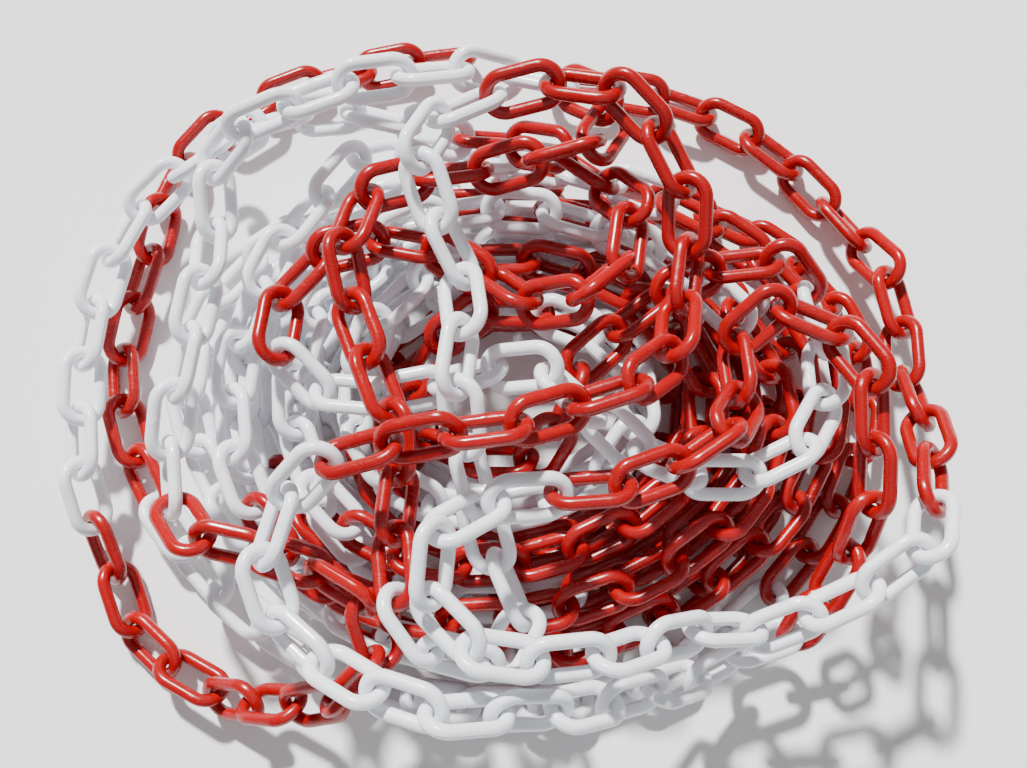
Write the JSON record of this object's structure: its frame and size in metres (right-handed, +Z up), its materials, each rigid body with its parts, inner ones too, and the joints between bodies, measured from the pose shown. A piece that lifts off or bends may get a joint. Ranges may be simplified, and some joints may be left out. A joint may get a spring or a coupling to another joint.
{
  "type": "plastic barrier chain",
  "caption": "Long plastic link chain in red and white colour runs, lying in a tangled heap with its two ends free, for hooking between barrier posts.",
  "frame": {"origin": "middle of the heap's bounding box in plan, on the floor", "axes": "+X along the heap's longest side, +Y from the near edge to the far edge where the free ends lie, +Z up"},
  "size_m": [0.5369, 0.4526, 0.1792],
  "materials": {
    "red_plastic": "glossy moulded",
    "white_plastic": "glossy moulded"
  },
  "bodies": {
    "heap": {"red_run_01": "red_plastic", "white_run_02": "white_plastic", "red_run_03": "red_plastic", "white_run_04": "white_plastic", "red_run_05": "red_plastic", "white_run_06": "white_plastic", "red_run_07": "red_plastic", "white_run_08": "white_plastic", "red_run_09": "red_plastic", "white_run_10": "white_plastic", "red_run_11": "red_plastic", "white_run_12": "white_plastic", "red_run_13": "red_plastic", "white_run_14": "white_plastic", "red_run_15": "red_plastic", "white_run_16": "white_plastic", "red_run_17": "red_plastic", "white_run_18": "white_plastic", "red_run_19": "red_plastic", "white_run_20": "white_plastic", "red_run_21": "red_plastic", "white_run_22": "white_plastic", "red_run_23": "red_plastic", "white_run_24": "white_plastic", "red_run_25": "red_plastic", "white_run_26": "white_plastic", "red_run_27": "red_plastic", "white_run_28": "white_plastic", "red_run_29": "red_plastic", "white_run_30": "white_plastic", "red_run_31": "red_plastic", "white_run_32": "white_plastic", "red_run_33": "red_plastic"},
    "left_loose_link_1": {"left_loose_link_1": "red_plastic"},
    "left_loose_link_2": {"left_loose_link_2": "red_plastic"},
    "left_loose_link_3": {"left_loose_link_3": "red_plastic"},
    "left_loose_link_4": {"left_loose_link_4": "red_plastic"},
    "left_loose_link_5": {"left_loose_link_5": "red_plastic"},
    "right_loose_link_5": {"right_loose_link_5": "red_plastic"},
    "right_loose_link_4": {"right_loose_link_4": "red_plastic"},
    "right_loose_link_3": {"right_loose_link_3": "red_plastic"},
    "right_loose_link_2": {"right_loose_link_2": "red_plastic"},
    "right_loose_link_1": {"right_loose_link_1": "red_plastic"}
  },
  "joints": [
    {"name": "left_loose_link_1_hinge", "type": "hinge", "parent": "left_loose_link_2", "child": "left_loose_link_1", "pos_m": [-0.05493, 0.2104, 0.0156], "axis": [0.148, -0.989, 0], "range_deg": [0, 18]},
    {"name": "left_loose_link_2_hinge", "type": "hinge", "parent": "left_loose_link_3", "child": "left_loose_link_2", "pos_m": [-0.08869, 0.20391, 0.01499], "axis": [0.2111, -0.9775, 0], "range_deg": [0, 18]},
    {"name": "left_loose_link_3_hinge", "type": "hinge", "parent": "left_loose_link_4", "child": "left_loose_link_3", "pos_m": [-0.12176, 0.19456, 0.01549], "axis": [0.3059, -0.9521, 0], "range_deg": [0, 18]},
    {"name": "left_loose_link_4_hinge", "type": "hinge", "parent": "left_loose_link_5", "child": "left_loose_link_4", "pos_m": [-0.15363, 0.18176, 0.01498], "axis": [0.4249, -0.9053, 0], "range_deg": [0, 18]},
    {"name": "left_loose_link_5_hinge", "type": "hinge", "parent": "heap", "child": "left_loose_link_5", "pos_m": [-0.1828, 0.16376, 0.01594], "axis": [0.5985, -0.8011, 0], "range_deg": [0, 18]},
    {"name": "right_loose_link_5_hinge", "type": "hinge", "parent": "heap", "child": "right_loose_link_5", "pos_m": [0.19775, 0.13328, 0.01469], "axis": [0.7577, 0.6526, 0], "range_deg": [0, 18]},
    {"name": "right_loose_link_4_hinge", "type": "hinge", "parent": "right_loose_link_5", "child": "right_loose_link_4", "pos_m": [0.17159, 0.15534, 0.01527], "axis": [0.5899, 0.8074, 0], "range_deg": [0, 18]},
    {"name": "right_loose_link_3_hinge", "type": "hinge", "parent": "right_loose_link_4", "child": "right_loose_link_3", "pos_m": [0.14198, 0.17266, 0.01464], "axis": [0.4544, 0.8908, 0], "range_deg": [0, 18]},
    {"name": "right_loose_link_2_hinge", "type": "hinge", "parent": "right_loose_link_3", "child": "right_loose_link_2", "pos_m": [0.10982, 0.18456, 0.01539], "axis": [0.2868, 0.958, 0], "range_deg": [0, 18]},
    {"name": "right_loose_link_1_hinge", "type": "hinge", "parent": "right_loose_link_2", "child": "right_loose_link_1", "pos_m": [0.0762, 0.19155, 0.01524], "axis": [0.1607, 0.987, 0], "range_deg": [0, 18]}
  ]
}
